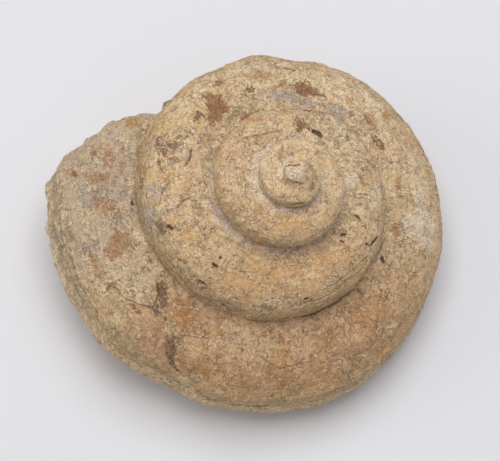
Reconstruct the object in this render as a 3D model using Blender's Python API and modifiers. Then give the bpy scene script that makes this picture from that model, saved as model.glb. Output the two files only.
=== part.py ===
"""A fossil slit shell: the stone cast of a low conical sea snail shell, lying on its base.

Run with: blender --background --python part.py. Sizes are metres, +Z is up.

The cast is one piece of stone. It is a tube that grows as it coils clockwise down a leaning
axis. Turn 0 is near the broken mouth, and turn -1 is one whorl before it. An angle in the
tube's section is 0 at the outer edge, 90 degrees on top and -90 degrees underneath. Worn
relief lies on the tube: the band of the old slit, a fracture groove, dents and a rough mouth.
"""

import math

import bmesh
import bpy
from mathutils import Matrix, Vector, noise

MM = 0.001

# The coil: its radius from the axis to the middle of the tube, in mm, at each turn.
COIL = (
    (-4.5, 1.4), (-4.0, 2.15), (-3.5, 3.3), (-3.0, 5.0), (-2.5, 7.1), (-2.0, 10.2),
    (-1.5, 14.4), (-1.25, 16.8), (-1.0, 19.5), (-0.75, 21.9), (-0.5, 24.4),
    (-0.25, 27.55), (0.0, 30.4), (0.25, 31.3),
)
FIRST_TURN = -4.2
START_BEARING = math.radians(164.4)  # where turn 0 lies, counterclockwise seen from above

# The spire: the tube's middle drops below the tip in step with the coil's radius.
DROP = 1.158
DROP_POWER = 0.971
DROP_REFERENCE = 26.7 * MM

# The tube's section, as shares of the coil's radius there.
OUTER_REACH = 0.40
INNER_REACH = 0.76
HALF_HEIGHT = 0.36
SQUARENESS = 2.2

# On the spire the section's lower half is deeper and rounder, so that each whorl meets the next
# one under its own overhang.
SPIRE_DEPTH = 1.9
SPIRE_SQUARENESS = 1.5
SPIRE_END = (-1.9, -1.4)  # turns between which the lower half gets back to its plain shape

# The tip, a blunt knob in place of the smallest whorls.
TIP_RADIUS = 2.2 * MM
TIP_DEPTH = 3.3 * MM

# The band of the old slit round each whorl: two low ridges with a groove between them.
BAND_EDGES = (math.radians(-4), math.radians(26))
BAND_EDGE_WIDTH = math.radians(4.5)
BAND_EDGE_HEIGHT = 0.40 * MM
BAND_DEPTH = 0.25 * MM
BAND_FADE = (-1.1, -0.5)  # turns between which it grows to its full height
BAND_WORN = 0.3  # share of that height on the worn whorls of the spire

# The broken mouth, a rounded rough end of rock.
MOUTH_TURN = 0.036
MOUTH_SLANT = 0.070  # turns by which its outer edge stays behind its middle
MOUTH_SLANT_START = -0.30
MOUTH_BULGE = 5.0 * MM
ROUGH_START = -0.09

# The fracture across the last whorl: a crumbled groove, steep on its mouth side.
FRACTURE_TOP = (-0.140, math.radians(92))  # turn and section angle of its upper end
FRACTURE_SLOPE = 0.065  # turns per radian that it falls back as it runs down the side
FRACTURE_EDGE = 0.004  # turns over which its mouth side steps down
FRACTURE_REACH = 0.024  # turns after which the stone is level again
FRACTURE_DEPTH = 1.1 * MM
FRACTURE_SIDES = (math.radians(-25), math.radians(120))
FRACTURE_SIDE_FADE = math.radians(23)

# Swells and hollows of the outer edge: turn, half length in turns, height.
SWELLS = (
    (-0.358, 0.035, 0.85 * MM),
    (-0.157, 0.017, 0.65 * MM),
    (-0.122, 0.012, -0.35 * MM),
    (-0.070, 0.022, -0.40 * MM),
    (-0.480, 0.075, -0.50 * MM),
    (-0.207, 0.030, -0.75 * MM),
    (-0.815, 0.035, 0.35 * MM),
)

# Dents: turn, section angle in degrees, radius and depth.
DENTS = (
    (-0.126, 92, 2.2 * MM, 0.8 * MM),
    (-0.060, 96, 2.4 * MM, 1.0 * MM),
    (-0.216, 5, 1.8 * MM, 0.7 * MM),
    (-1.42, 62, 1.6 * MM, 0.5 * MM),
    (-0.62, 55, 2.6 * MM, 0.5 * MM),
    (-0.78, 15, 3.0 * MM, 0.7 * MM),
    (-0.47, -55, 3.4 * MM, 0.8 * MM),
    (-0.12, -70, 3.0 * MM, 0.9 * MM),
    (-0.85, -62, 2.8 * MM, 0.8 * MM),
)

# The rock that fills the hollow axis, which leaves a shallow dimple in the base.
FILLING_TOP = 8.0 * MM
FILLING_BOTTOM = 31.0 * MM
FILLING_TOP_RADIUS = 3.0 * MM
FILLING_BOTTOM_RADIUS = 10.5 * MM

# The coil's radius past which the relief has its full height.
FULL_RELIEF_RADIUS = 8.0 * MM

# Weathering of the whole surface, and the rough rock of the mouth: height and grain size.
WEATHERING = ((0.45 * MM, 13.0 * MM), (0.28 * MM, 4.5 * MM), (0.12 * MM, 2.2 * MM))
MOUTH_LUMPS = (1.35 * MM, 4.6 * MM)
MOUTH_LUMP_DETAIL = (0.9, 2.1, 3)  # roughness, scale step and layers of the fractal noise

# The pose: the axis leans right and a little forwards, as the shell does when it lies on its
# mouth and base. These are the sideways parts of the axis, whose length is 1.
LEAN_RIGHT = 0.188
LEAN_BACK = -0.048

# The worn flats that it rests on: how deep they are cut, and the slab that cuts them. Its
# width is a share of the shell's.
REST_WEAR = 1.2 * MM
SLAB_WIDTH = 1.5
SLAB_DEPTH = 10.0 * MM

# Mesh fineness.
RINGS_PER_TURN = 90
SECTION_POINTS = 56
MOUTH_RINGS = 10
VOXEL = 0.65 * MM
SMOOTHING_ROUNDS = 7
KEPT_TRIANGLES = 9200

STONE_COLOUR = (0.52, 0.36, 0.20, 1.0)


def smoothstep(low, high, value):
    """Rises smoothly from 0 at low to 1 at high."""
    u = min(max((value - low) / (high - low), 0.0), 1.0)
    return u * u * (3 - 2 * u)


def coil_radius(turn):
    """The coil's radius at a turn, on a smooth curve through the table."""
    last = len(COIL) - 1
    turn = min(max(turn, COIL[0][0]), COIL[last][0])
    i = max(k for k in range(last) if COIL[k][0] <= turn)
    slopes = []
    for k in (i, i + 1):
        (t0, r0), (t1, r1) = COIL[max(k - 1, 0)], COIL[min(k + 1, last)]
        slopes.append(math.log(r1 / r0) / (t1 - t0))
    (t0, r0), (t1, r1) = COIL[i], COIL[i + 1]
    span = t1 - t0
    u = (turn - t0) / span
    log_radius = (
        math.log(r0) * (2 * u**3 - 3 * u**2 + 1)
        + math.log(r1) * (3 * u**2 - 2 * u**3)
        + slopes[0] * span * (u**3 - 2 * u**2 + u)
        + slopes[1] * span * (u**3 - u**2)
    )
    return math.exp(log_radius) * MM


def drop(radius):
    """How far the tube's middle lies below the tip, along the axis."""
    return DROP * radius * (radius / DROP_REFERENCE) ** (DROP_POWER - 1)


def axis_frame():
    """The axis towards the tip, and the two directions square to it at bearings 0 and 90."""
    axis = Vector((LEAN_RIGHT, LEAN_BACK, 0))
    axis.z = math.sqrt(1 - axis.length_squared)
    side = (Vector((1, 0, 0)) - LEAN_RIGHT * axis).normalized()
    return axis, side, axis.cross(side)


def section_shape(angle, turn):
    """The unit section at an angle: outwards and upwards parts of a soft-cornered oval."""
    out, up = math.cos(angle), math.sin(angle)
    height, squareness = HALF_HEIGHT, SQUARENESS
    if up < 0:
        spire = 1 - smoothstep(*SPIRE_END, turn)
        height *= 1 + (SPIRE_DEPTH - 1) * spire
        squareness += (SPIRE_SQUARENESS - SQUARENESS) * spire
    power = 2 / squareness
    out = math.copysign(abs(out) ** power, out) * (OUTER_REACH if out > 0 else INNER_REACH)
    return out, math.copysign(abs(up) ** power, up) * height


def bump(distance, width):
    """A smooth bump of height 1 that fades out past its width."""
    return math.exp(-((distance / width) ** 2))


def whorl_point(turn, angle, shrink=1.0, ahead=0.0):
    """A point of the tube's skin, with the section shrunk or moved ahead for the rounded end."""
    out, up = section_shape(angle, turn)
    slant = MOUTH_SLANT * smoothstep(MOUTH_SLANT_START, MOUTH_TURN, turn)
    turn = turn - slant * out / OUTER_REACH * shrink
    radius = coil_radius(turn)
    axis, side, back = axis_frame()
    bearing = START_BEARING - math.tau * turn - ahead / radius
    outwards = side * math.cos(bearing) + back * math.sin(bearing)
    middle = outwards * radius - axis * drop(radius)
    spoke = (outwards * out + axis * up) * radius * shrink
    point = middle + spoke
    return point + spoke.normalized() * relief(point, turn, angle, radius)


def relief(point, turn, angle, radius):
    """How far the worn stone stands out from the ideal tube at a point."""
    angle = (angle + math.pi / 2) % math.tau - math.pi / 2
    raised = slit_band(angle) * (BAND_WORN + (1 - BAND_WORN) * smoothstep(*BAND_FADE, turn))
    raised -= fracture(turn, angle)
    for swell_turn, length, height in SWELLS:
        raised += height * bump(turn - swell_turn, length) * max(math.cos(angle), 0)
    for dent_turn, dent_angle, size, depth in DENTS:
        along = (turn - dent_turn) * math.tau * radius
        across = (angle - math.radians(dent_angle)) * HALF_HEIGHT * radius
        raised -= depth * bump(math.hypot(along, across), size)
    rough = smoothstep(ROUGH_START, 0.0, turn)
    height, grain = MOUTH_LUMPS
    raised += rough * height * noise.fractal(point / grain, *MOUTH_LUMP_DETAIL)
    return raised * smoothstep(0, FULL_RELIEF_RADIUS, radius)


def slit_band(angle):
    """The height of the slit's band, which follows the outer edge of the whorls."""
    low, high = BAND_EDGES
    ridges = sum(bump(angle - edge, BAND_EDGE_WIDTH) for edge in BAND_EDGES)
    groove = bump(angle - (low + high) / 2, (high - low) / 3)
    return BAND_EDGE_HEIGHT * ridges - BAND_DEPTH * groove


def fracture(turn, angle):
    """How deep the crumbled groove is at a point, measured back from its steep side."""
    top_turn, top_angle = FRACTURE_TOP
    past = top_turn + FRACTURE_SLOPE * (angle - top_angle) - turn
    low, high = FRACTURE_SIDES
    side = smoothstep(low, low + FRACTURE_SIDE_FADE, angle)
    side *= 1 - smoothstep(high - FRACTURE_SIDE_FADE, high, angle)
    groove = smoothstep(0, FRACTURE_EDGE, past) * (1 - smoothstep(0, FRACTURE_REACH, past))
    return FRACTURE_DEPTH * side * groove


def coil_rings():
    """The tube's rings as lists of points, from the tip to the rounded rough mouth."""
    angles = [math.tau * k / SECTION_POINTS for k in range(SECTION_POINTS)]
    count = round((MOUTH_TURN - FIRST_TURN) * RINGS_PER_TURN)
    for i in range(count + 1):
        turn = FIRST_TURN + (MOUTH_TURN - FIRST_TURN) * i / count
        yield [whorl_point(turn, a) for a in angles]
    for i in range(1, MOUTH_RINGS):
        roll = math.pi / 2 * i / MOUTH_RINGS
        ahead = MOUTH_BULGE * math.sin(roll)
        yield [whorl_point(MOUTH_TURN, a, math.cos(roll), ahead) for a in angles]


def add_tube(mesh):
    """Skins the rings from the tip to the mouth and closes both ends."""
    rows = [[mesh.verts.new(p) for p in ring] for ring in coil_rings()]
    for row, following in zip(rows, rows[1:]):
        for k in range(SECTION_POINTS):
            nxt = (k + 1) % SECTION_POINTS
            mesh.faces.new((row[k], row[nxt], following[nxt], following[k]))
    mesh.faces.new(rows[0])
    mesh.faces.new(rows[-1])


def add_tip(mesh):
    """The blunt knob at the tip of the spire."""
    axis = axis_frame()[0]
    place = Matrix.Translation(-axis * TIP_DEPTH)
    bmesh.ops.create_uvsphere(
        mesh, u_segments=32, v_segments=20, radius=TIP_RADIUS, matrix=place
    )


def add_axis_filling(mesh):
    """The rock that fills the hollow axis, a cone from inside the spire to the base's dimple."""
    axis, side, back = axis_frame()
    turned = Matrix((side, back, axis)).transposed().to_4x4()
    middle = -(FILLING_TOP + FILLING_BOTTOM) / 2
    bmesh.ops.create_cone(
        mesh,
        cap_ends=True,
        segments=48,
        radius1=FILLING_BOTTOM_RADIUS,
        radius2=FILLING_TOP_RADIUS,
        depth=FILLING_BOTTOM - FILLING_TOP,
        matrix=turned @ Matrix.Translation((0, 0, middle)),
    )


def evaluated_copy(obj):
    """The object's mesh as its modifiers leave it."""
    graph = bpy.context.evaluated_depsgraph_get()
    return bpy.data.meshes.new_from_object(obj.evaluated_get(graph))


def weather(mesh):
    """Makes the fused skin uneven, as weathered stone is."""
    lifted = []
    for vertex in mesh.vertices:
        height = sum(h * noise.noise(vertex.co / grain) for h, grain in WEATHERING)
        lifted.append(vertex.co + vertex.normal * height)
    for vertex, place in zip(mesh.vertices, lifted):
        vertex.co = place


def worn_stone(group):
    """The whorls and the filling fused in one skin, thinned to the faces that it needs."""
    mesh = bmesh.new()
    add_tube(mesh)
    add_tip(mesh)
    add_axis_filling(mesh)
    bmesh.ops.recalc_face_normals(mesh, faces=mesh.faces)
    data = bpy.data.meshes.new("slit_shell")
    mesh.to_mesh(data)
    mesh.free()
    shell = bpy.data.objects.new("slit_shell", data)
    group.objects.link(shell)

    fuse = shell.modifiers.new("fuse_whorls", "REMESH")
    fuse.mode = "VOXEL"
    fuse.voxel_size = VOXEL
    soften = shell.modifiers.new("soften_seams", "SMOOTH")
    soften.factor = 0.5
    soften.iterations = SMOOTHING_ROUNDS
    fused = evaluated_copy(shell)
    weather(fused)
    fused.calc_loop_triangles()
    shell.modifiers.clear()
    shell.data = fused
    thin = shell.modifiers.new("thin", "DECIMATE")
    thin.ratio = KEPT_TRIANGLES / len(fused.loop_triangles)
    thinned = evaluated_copy(shell)
    shell.modifiers.clear()
    shell.data = thinned
    return shell


def stand_on_floor(shell):
    """Centres the shell over the origin, with the worn depth of its base under the floor."""
    points = [v.co for v in shell.data.vertices]
    low = Vector(min(p[i] for p in points) for i in range(3))
    high = Vector(max(p[i] for p in points) for i in range(3))
    middle = (low + high) / 2
    offset = Vector((-middle.x, -middle.y, -low.z - REST_WEAR))
    shell.data.transform(Matrix.Translation(offset))
    print("tip of the coil in the frame, mm:", [round(c / MM, 3) for c in offset])
    return high - low


def wear_base_flat(shell, size, helpers):
    """Cuts off what is under the floor, so that the shell rests on worn flats."""
    bpy.ops.mesh.primitive_cube_add(size=1)
    slab = bpy.context.object
    slab.name = "rest_cutter"
    slab.dimensions = (size.x * SLAB_WIDTH, size.y * SLAB_WIDTH, SLAB_DEPTH)
    slab.location = (0, 0, -SLAB_DEPTH / 2)
    bpy.context.view_layer.update()
    for holder in list(slab.users_collection):
        holder.objects.unlink(slab)
    helpers.objects.link(slab)
    slab.hide_render = True
    slab.display_type = "WIRE"
    cut = shell.modifiers.new("worn_rest", "BOOLEAN")
    cut.operation = "DIFFERENCE"
    cut.object = slab


def stone_material():
    stone = bpy.data.materials.new("fossil_limestone")
    stone.use_nodes = True
    shader = stone.node_tree.nodes["Principled BSDF"]
    shader.inputs["Base Color"].default_value = STONE_COLOUR
    shader.inputs["Roughness"].default_value = 0.85
    shader.inputs["Metallic"].default_value = 0.0
    return stone


def main():
    for old in list(bpy.data.objects):
        bpy.data.objects.remove(old, do_unlink=True)
    group = bpy.data.collections.new("slit_shell")
    helpers = bpy.data.collections.new("cutters")
    for made in (group, helpers):
        bpy.context.scene.collection.children.link(made)

    shell = worn_stone(group)
    size = stand_on_floor(shell)
    wear_base_flat(shell, size, helpers)
    shell.data.materials.clear()
    shell.data.materials.append(stone_material())
    shell.data.shade_smooth()
    print("size in mm:", [round(s / MM, 1) for s in size])


main()
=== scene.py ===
# %% [markdown]
# # A fossil slit shell, from one growth law
#
# This is the stone cast of a sea snail that lived more than a hundred million years ago. Mud
# filled the shell and turned to limestone, and the shell itself dissolved. So the whole thing
# is one piece of rock. The lesson rebuilds its skin from the same growth law as the frame's
# plain solid, and then adds what weather, cracks and minerals did to it.
#
# The frame comes first, because everything is made in its place and at its size.

import math

import bmesh
import bpy
import numpy as np
from mathutils import Matrix, Vector, bvhtree, noise


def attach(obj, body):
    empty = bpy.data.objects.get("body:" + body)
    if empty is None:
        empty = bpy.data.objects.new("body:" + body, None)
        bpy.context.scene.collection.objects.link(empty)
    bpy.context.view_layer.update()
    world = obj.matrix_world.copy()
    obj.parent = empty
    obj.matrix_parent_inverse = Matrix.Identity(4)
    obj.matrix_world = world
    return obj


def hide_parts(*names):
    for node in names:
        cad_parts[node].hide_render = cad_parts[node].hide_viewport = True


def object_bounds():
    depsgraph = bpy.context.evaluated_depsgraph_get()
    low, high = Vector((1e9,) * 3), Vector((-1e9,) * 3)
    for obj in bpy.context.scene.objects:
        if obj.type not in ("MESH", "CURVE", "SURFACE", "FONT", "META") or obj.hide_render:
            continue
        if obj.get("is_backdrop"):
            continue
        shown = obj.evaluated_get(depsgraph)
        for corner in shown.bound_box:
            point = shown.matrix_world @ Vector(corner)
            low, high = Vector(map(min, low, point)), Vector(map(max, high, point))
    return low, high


MM = 0.001
NODE = "slit_shell"
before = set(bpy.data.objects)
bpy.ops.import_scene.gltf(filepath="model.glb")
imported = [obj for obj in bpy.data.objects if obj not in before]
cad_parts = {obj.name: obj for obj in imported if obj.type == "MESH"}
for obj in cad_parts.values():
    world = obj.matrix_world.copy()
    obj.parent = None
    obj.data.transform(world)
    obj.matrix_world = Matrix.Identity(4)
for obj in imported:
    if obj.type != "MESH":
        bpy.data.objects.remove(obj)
cad_box = [[float(c) for c in corner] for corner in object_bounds()]
print("the plain solid reaches, in mm:", [[round(c / MM, 1) for c in p] for p in cad_box])

# %% [markdown]
# ## Where the camera stands
#
# The photograph looks down on the shell from a little in front, with a long lens. The tip of
# the spire is a good anchor: its place on the real object is known, and so is its pixel. The
# camera goes back from the tip along that pixel's line of sight. It comes first here, because
# cracks and stains are placed later by the pixels where the photograph shows them.

# %% Place the camera
IMAGE_SIZE = (500, 461)
FOCAL_PIXELS = 2200.0
SENSOR_WIDTH = 36.0
ELEVATION = math.radians(71.5)
TIP = Vector((10.21, 2.536, 41.295)) * MM
TIP_PIXEL = (302.0, 169.4)
TIP_DISTANCE = 396.0 * MM

view_right = Vector((1, 0, 0))
view_up = Vector((0, math.sin(ELEVATION), math.cos(ELEVATION)))
view_back = Vector((0, -math.cos(ELEVATION), math.sin(ELEVATION)))


def sight(pixel):
    """The direction in which the camera sees a pixel of the photograph."""
    across = pixel[0] - IMAGE_SIZE[0] / 2
    down = pixel[1] - IMAGE_SIZE[1] / 2
    return (view_right * across - view_up * down - view_back * FOCAL_PIXELS).normalized()


def make_camera():
    data = bpy.data.cameras.new("camera")
    data.sensor_width = SENSOR_WIDTH
    data.lens = SENSOR_WIDTH * FOCAL_PIXELS / IMAGE_SIZE[0]
    data.clip_start, data.clip_end = 0.01, 20.0
    camera = bpy.data.objects.new("camera", data)
    turned = Matrix((view_right, view_up, view_back)).transposed()
    camera.matrix_world = turned.to_4x4()
    camera.location = TIP - sight(TIP_PIXEL) * TIP_DISTANCE
    bpy.context.scene.collection.objects.link(camera)
    bpy.context.scene.camera = camera
    return camera


camera = make_camera()
print("camera at, in mm:", [round(c / MM) for c in camera.location])

# %% [markdown]
# ## The growth law
#
# A snail adds shell at its mouth, and the mouth widens and moves outwards and down by nearly
# the same share in each turn. So the shell is one tube on a spiral. Its radius is read from a
# smooth curve through a few measured turns, and everything else is a share of that radius.
# On the spire the section's lower half is deeper and rounder, so that each whorl meets the
# next under its own overhang, where a shallow one would leave a gap. NumPy works on all
# points at once, which keeps a fine surface quick to make.

# %% Radius, drop and section of the tube
COIL = (
    (-4.5, 1.4), (-4.0, 2.15), (-3.5, 3.3), (-3.0, 5.0), (-2.5, 7.1), (-2.0, 10.2),
    (-1.5, 14.4), (-1.25, 16.8), (-1.0, 19.5), (-0.75, 21.9), (-0.5, 24.4),
    (-0.25, 27.55), (0.0, 30.4), (0.25, 31.3),
)
START_BEARING = math.radians(164.4)
DROP = 1.158
DROP_POWER = 0.971
DROP_REFERENCE = 26.7
OUTER_REACH = 0.40
INNER_REACH = 0.76
HALF_HEIGHT = 0.36
SQUARENESS = 2.2
SPIRE_DEPTH = 1.9
SPIRE_SQUARENESS = 1.5
SPIRE_END = (-1.9, -1.4)

table_turns = np.array([turn for turn, radius in COIL])
table_logs = np.log([radius for turn, radius in COIL])
ends = np.arange(len(COIL))
after, before = np.minimum(ends + 1, len(COIL) - 1), np.maximum(ends - 1, 0)
table_slopes = (table_logs[after] - table_logs[before]) / (table_turns[after] - table_turns[before])


def coil_radius(turn):
    """The coil's radius in mm, on a smooth curve through the table."""
    turn = np.clip(turn, table_turns[0], table_turns[-1])
    i = np.clip(np.searchsorted(table_turns, turn, side="right") - 1, 0, len(COIL) - 2)
    span = table_turns[i + 1] - table_turns[i]
    u = (turn - table_turns[i]) / span
    ease = 3 * u**2 - 2 * u**3
    bend = table_slopes[i] * span * (u**3 - 2 * u**2 + u) + table_slopes[i + 1] * span * (u**3 - u**2)
    return np.exp(table_logs[i] * (1 - ease) + table_logs[i + 1] * ease + bend)


def drop(radius):
    """How far the tube's middle lies below the tip, in mm."""
    return DROP * radius * (radius / DROP_REFERENCE) ** (DROP_POWER - 1)


def smoothstep(low, high, value):
    """A smooth step from 0 to 1 between two values, or from 1 to 0 if low is the larger."""
    u = np.clip((value - low) / (high - low), 0, 1)
    return u * u * (3 - 2 * u)


def bump(distance, width):
    """1 in the middle of a round bump, and about 0 at twice its width."""
    return np.exp(-((distance / width) ** 2))


def half_form(up, turn):
    """The half height and squareness of a section's upper or lower half. On the spire the lower
    half is deeper and rounder, so that it meets the next whorl under its own overhang."""
    spire = np.where(up < 0, 1 - smoothstep(*SPIRE_END, turn), 0)
    height = HALF_HEIGHT * (1 + (SPIRE_DEPTH - 1) * spire)
    return height, SQUARENESS + (SPIRE_SQUARENESS - SQUARENESS) * spire


def section_shape(angle, turn):
    """The unit section: how far outwards and upwards its outline lies at an angle."""
    out, up = np.cos(angle), np.sin(angle)
    height, squareness = half_form(up, turn)
    power = 2 / squareness
    reach = np.where(out > 0, OUTER_REACH, INNER_REACH)
    return np.sign(out) * np.abs(out) ** power * reach, np.sign(up) * np.abs(up) ** power * height


print("radius at turns -3, -2, -1, 0 in mm:", coil_radius(np.array([-3, -2, -1, 0.0])).round(1))

# %% [markdown]
# ## What happened to the tube
#
# The real cast isn't an ideal tube. A low band marks where the shell's old slit closed, a
# crumbled fracture crosses the last whorl, the outer edge swells and dips, and the mouth is
# broken. All of that is written as heights on the tube, from its turn and its section angle,
# so the features follow the whorls.

# %% Relief on the tube
BAND_EDGES = (math.radians(-4), math.radians(26))
BAND_EDGE_WIDTH = math.radians(4.5)
BAND_EDGE_HEIGHT = 0.40
BAND_DEPTH = 0.25
BAND_FADE = (-1.1, -0.5)
BAND_WORN = 0.3
MOUTH_TURN = 0.036
MOUTH_SLANT = 0.070
MOUTH_SLANT_START = -0.30
MOUTH_BULGE = 5.0
ROUGH_START = -0.09
FRACTURE_TOP = (-0.140, math.radians(92))
FRACTURE_SLOPE = 0.065
FRACTURE_EDGE = 0.004
FRACTURE_REACH = 0.024
FRACTURE_DEPTH = 1.1
FRACTURE_SIDES = (math.radians(-25), math.radians(120))
FRACTURE_SIDE_FADE = math.radians(23)
FULL_RELIEF_RADIUS = 8.0
MOUTH_LUMPS = (1.35, 4.6)
MOUTH_LUMP_DETAIL = (0.9, 2.1, 3)
SWELLS = (
    (-0.358, 0.035, 0.85), (-0.157, 0.017, 0.65), (-0.122, 0.012, -0.35),
    (-0.070, 0.022, -0.40), (-0.480, 0.075, -0.50), (-0.207, 0.030, -0.75),
    (-0.815, 0.035, 0.35),
)
DENTS = (
    (-0.126, 92, 2.2, 0.8), (-0.060, 96, 2.4, 1.0), (-0.216, 5, 1.8, 0.7),
    (-1.42, 62, 1.6, 0.5), (-0.62, 55, 2.6, 0.5), (-0.78, 15, 3.0, 0.7),
    (-0.47, -55, 3.4, 0.8), (-0.12, -70, 3.0, 0.9), (-0.85, -62, 2.8, 0.8),
)


def slit_band(angle):
    low, high = BAND_EDGES
    ridges = bump(angle - low, BAND_EDGE_WIDTH) + bump(angle - high, BAND_EDGE_WIDTH)
    return BAND_EDGE_HEIGHT * ridges - BAND_DEPTH * bump(angle - (low + high) / 2, (high - low) / 3)


def fracture(turn, angle):
    past = FRACTURE_TOP[0] + FRACTURE_SLOPE * (angle - FRACTURE_TOP[1]) - turn
    low, high = FRACTURE_SIDES
    side = smoothstep(low, low + FRACTURE_SIDE_FADE, angle)
    side = side * (1 - smoothstep(high - FRACTURE_SIDE_FADE, high, angle))
    groove = smoothstep(0, FRACTURE_EDGE, past) * (1 - smoothstep(0, FRACTURE_REACH, past))
    return FRACTURE_DEPTH * side * groove


def relief(points, turn, angle, radius):
    """The height in mm of the worn stone over the ideal tube."""
    angle = (angle + math.pi / 2) % math.tau - math.pi / 2
    raised = slit_band(angle) * (BAND_WORN + (1 - BAND_WORN) * smoothstep(*BAND_FADE, turn))
    raised = raised - fracture(turn, angle)
    for swell_turn, length, height in SWELLS:
        raised = raised + height * bump(turn - swell_turn, length) * np.maximum(np.cos(angle), 0)
    for dent_turn, dent_angle, size, depth in DENTS:
        along = (turn - dent_turn) * math.tau * radius
        across = (angle - math.radians(dent_angle)) * HALF_HEIGHT * radius
        raised = raised - depth * bump(np.hypot(along, across), size)
    rough = smoothstep(ROUGH_START, 0.0, turn)
    height, grain = MOUTH_LUMPS
    for k in np.flatnonzero(rough > 0):
        lump = noise.fractal(Vector(points[k]) / grain, *MOUTH_LUMP_DETAIL)
        raised[k] += rough[k] * height * lump
    return raised * smoothstep(0, FULL_RELIEF_RADIUS, radius)

# %% [markdown]
# ## From the law to a skin
#
# Rings of points along the spiral are joined into a tube, which cuts through itself where the
# whorls touch. A voxel remesh keeps only the outer skin of it all, as one closed mesh of small
# even squares. A ball makes the worn tip, and a cone of rock fills the hollow along the axis.
# A little smoothing then rounds the seams between the whorls, as rock does.

# %% Loft the tube
LEAN_RIGHT = 0.188
LEAN_BACK = -0.048
FIRST_TURN = -4.2
RINGS_PER_TURN = 200
SECTION_POINTS = 112
MOUTH_RINGS = 14

axis = Vector((LEAN_RIGHT, LEAN_BACK, 0))
axis.z = math.sqrt(1 - axis.length_squared)
side = (Vector((1, 0, 0)) - LEAN_RIGHT * axis).normalized()
back = axis.cross(side)
axis, side, back = (np.array(v) for v in (axis, side, back))


def ring(turn, shrink=1.0, ahead=0.0):
    """One ring of the tube's skin in mm from the tip. The last rings shrink to round the end."""
    angle = np.arange(SECTION_POINTS) * math.tau / SECTION_POINTS
    out, up = section_shape(angle, turn)
    slant = MOUTH_SLANT * smoothstep(MOUTH_SLANT_START, MOUTH_TURN, turn)
    turns = turn - slant * out / OUTER_REACH * shrink
    radius = coil_radius(turns)
    bearing = START_BEARING - math.tau * turns - ahead / radius
    outwards = np.cos(bearing)[:, None] * side + np.sin(bearing)[:, None] * back
    middle = outwards * radius[:, None] - axis * drop(radius)[:, None]
    spoke = (outwards * out[:, None] + axis * up[:, None]) * radius[:, None] * shrink
    point = middle + spoke
    length = np.linalg.norm(spoke, axis=1, keepdims=True)
    return point + spoke / length * relief(point, turns, angle, radius)[:, None]


def all_rings():
    count = round((MOUTH_TURN - FIRST_TURN) * RINGS_PER_TURN)
    for i in range(count + 1):
        yield ring(FIRST_TURN + (MOUTH_TURN - FIRST_TURN) * i / count)
    for i in range(1, MOUTH_RINGS):
        roll = math.pi / 2 * i / MOUTH_RINGS
        yield ring(MOUTH_TURN, math.cos(roll), MOUTH_BULGE * math.sin(roll))

# %% Fuse it to one skin
TIP_RADIUS = 2.2
TIP_DEPTH = 3.3
FILLING_TOP, FILLING_BOTTOM = 8.0, 31.0
FILLING_TOP_RADIUS, FILLING_BOTTOM_RADIUS = 3.0, 10.5
VOXEL = 0.56
SMOOTHING_ROUNDS = 7


def fused_skin():
    mesh = bmesh.new()
    rows = [[mesh.verts.new(p) for p in points] for points in all_rings()]
    for row, following in zip(rows, rows[1:]):
        for k in range(SECTION_POINTS):
            nxt = (k + 1) % SECTION_POINTS
            mesh.faces.new((row[k], row[nxt], following[nxt], following[k]))
    mesh.faces.new(rows[0])
    mesh.faces.new(rows[-1])
    knob = Matrix.Translation(Vector(-axis * TIP_DEPTH))
    bmesh.ops.create_uvsphere(mesh, u_segments=48, v_segments=32, radius=TIP_RADIUS, matrix=knob)
    turned = Matrix((side, back, axis)).transposed().to_4x4()
    bmesh.ops.create_cone(
        mesh,
        cap_ends=True,
        segments=64,
        radius1=FILLING_BOTTOM_RADIUS,
        radius2=FILLING_TOP_RADIUS,
        depth=FILLING_BOTTOM - FILLING_TOP,
        matrix=turned @ Matrix.Translation((0, 0, -(FILLING_TOP + FILLING_BOTTOM) / 2)),
    )
    bmesh.ops.recalc_face_normals(mesh, faces=mesh.faces)
    data = bpy.data.meshes.new("tube")
    mesh.to_mesh(data)
    mesh.free()
    tube = bpy.data.objects.new("tube", data)
    bpy.context.scene.collection.objects.link(tube)
    fuse = tube.modifiers.new("fuse_whorls", "REMESH")
    fuse.mode = "VOXEL"
    fuse.voxel_size = VOXEL
    soften = tube.modifiers.new("soften_seams", "SMOOTH")
    soften.factor = 0.5
    soften.iterations = SMOOTHING_ROUNDS
    graph = bpy.context.evaluated_depsgraph_get()
    skin = bpy.data.meshes.new_from_object(tube.evaluated_get(graph))
    bpy.data.objects.remove(tube)
    return skin


skin = fused_skin()
print("the fused skin has", len(skin.polygons), "faces")

# %% [markdown]
# ## Which turn does a point belong to?
#
# The remesh forgets which whorl a point came from, but the growth law can be turned round. A
# point's bearing gives its turn up to whole turns. Of those few candidates, the right whorl is
# the one whose section passes closest. The second closest tells how near the seam is. Growth
# lines, seams and stains that follow the whorls all need these numbers.

# %% Turn, section angle and distance to the seam
WHOLE_TURNS = 5
LAST_TURN = 0.12
FAR = 99.0


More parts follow.
